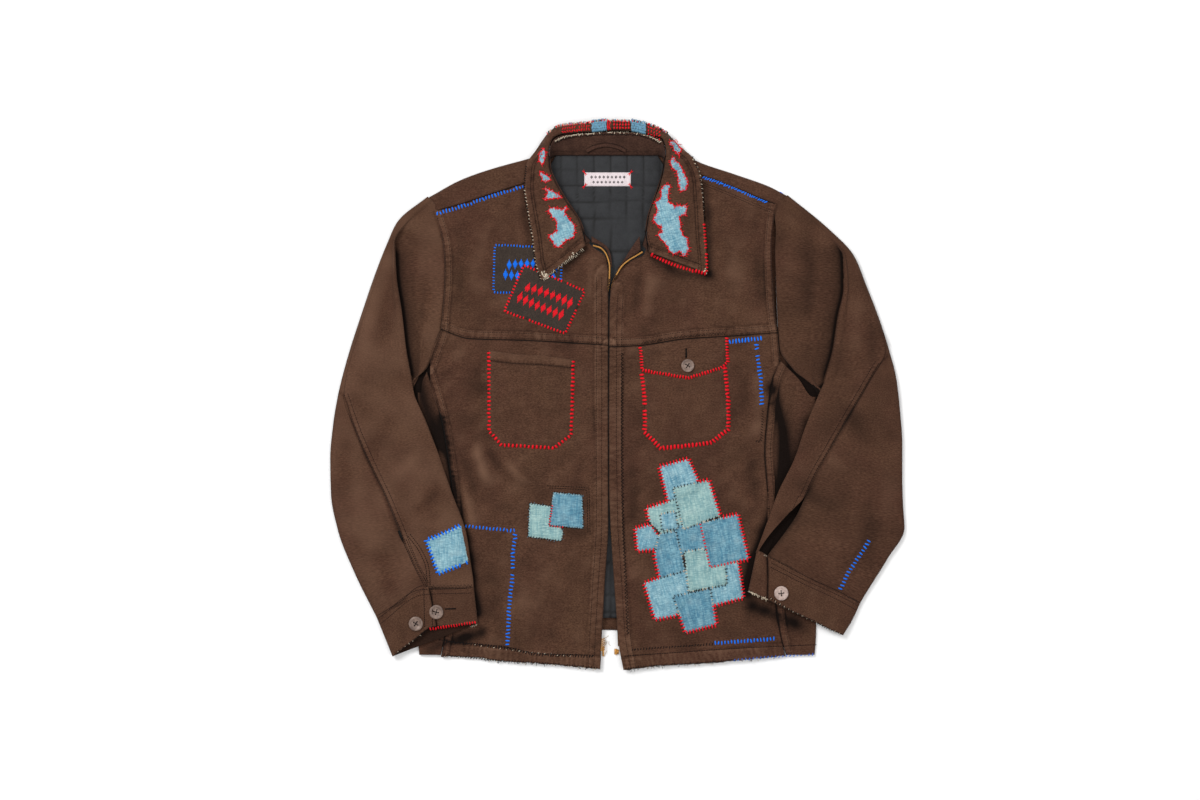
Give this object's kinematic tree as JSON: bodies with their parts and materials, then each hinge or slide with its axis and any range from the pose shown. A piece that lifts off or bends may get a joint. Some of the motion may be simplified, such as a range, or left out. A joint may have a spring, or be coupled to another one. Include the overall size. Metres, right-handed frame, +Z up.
{
  "type": "patched boro work jacket laid flat",
  "caption": "Collared zip work jacket in brown twill, laid flat on its back and unzipped, with denim boro patches, chest pockets and hand stitching",
  "frame": {"origin": "on the floor, at the middle of the jacket's outline", "axes": "+Z up from the floor, +Y from the hem to the collar, +X towards the wearer's left sleeve"},
  "size_m": [0.789, 0.7575, 0.0257],
  "materials": {
    "brown_twill": "worn brushed twill, with faded seams and hand stitching",
    "quilted_lining": "matte charcoal quilted in squares",
    "denim_mid": "washed mid blue denim",
    "denim_pale": "bleached pale blue denim",
    "badge_cloth": "plain charcoal canvas, bare",
    "label": "plain woven tape, bare",
    "thread": "thick hand-sewn cotton thread",
    "button": "satin four-hole button",
    "brass": "worn zip teeth and fittings"
  },
  "bodies": {
    "root": {"back_panel": "brown_twill", "back_lining": "quilted_lining", "front_yoke_right": "brown_twill", "front_yoke_left": "brown_twill", "front_lower_right": "brown_twill", "front_lower_left": "brown_twill", "side_panel_right": "brown_twill", "side_panel_left": "brown_twill", "collar": "brown_twill", "collar_stand": "brown_twill", "collar_applique_1": "denim_mid", "collar_applique_2": "denim_mid", "collar_applique_3": "denim_mid", "collar_applique_4": "denim_mid", "collar_applique_5": "denim_mid", "collar_applique_6": "denim_mid", "collar_applique_7": "denim_mid", "hanger_loop": "brown_twill", "neck_label": "label", "chest_pocket_right": "brown_twill", "chest_pocket_left": "brown_twill", "pocket_flap_left": "brown_twill", "pocket_welt_left": "brown_twill", "badge_upper": "badge_cloth", "badge_lower": "badge_cloth", "boro_patch_01": "denim_mid", "boro_patch_02": "denim_pale", "boro_patch_03": "denim_pale", "boro_patch_04": "denim_mid", "boro_patch_05": "denim_mid", "boro_patch_06": "denim_mid", "boro_patch_07": "denim_pale", "boro_patch_08": "denim_mid", "boro_patch_09": "denim_pale", "boro_patch_10": "denim_mid", "boro_patch_11": "denim_mid", "boro_patch_12": "denim_mid", "small_patch_pale": "denim_pale", "small_patch_over": "denim_mid", "sleeve_patch_right": "denim_pale", "sleeve_top_right": "brown_twill", "sleeve_under_right": "brown_twill", "cuff_right": "brown_twill", "front_facing_right": "brown_twill", "zip_tape_right": "brass", "sleeve_top_left": "brown_twill", "sleeve_under_left": "brown_twill", "cuff_left": "brown_twill", "front_facing_left": "brown_twill", "zip_tape_left": "brass", "zip_pin_right": "brass", "zip_box_left": "brass", "flap_button_left": "button", "cuff_button_right_outer": "button", "cuff_button_right_inner": "button", "cuff_button_left": "button"}
  },
  "joints": []
}
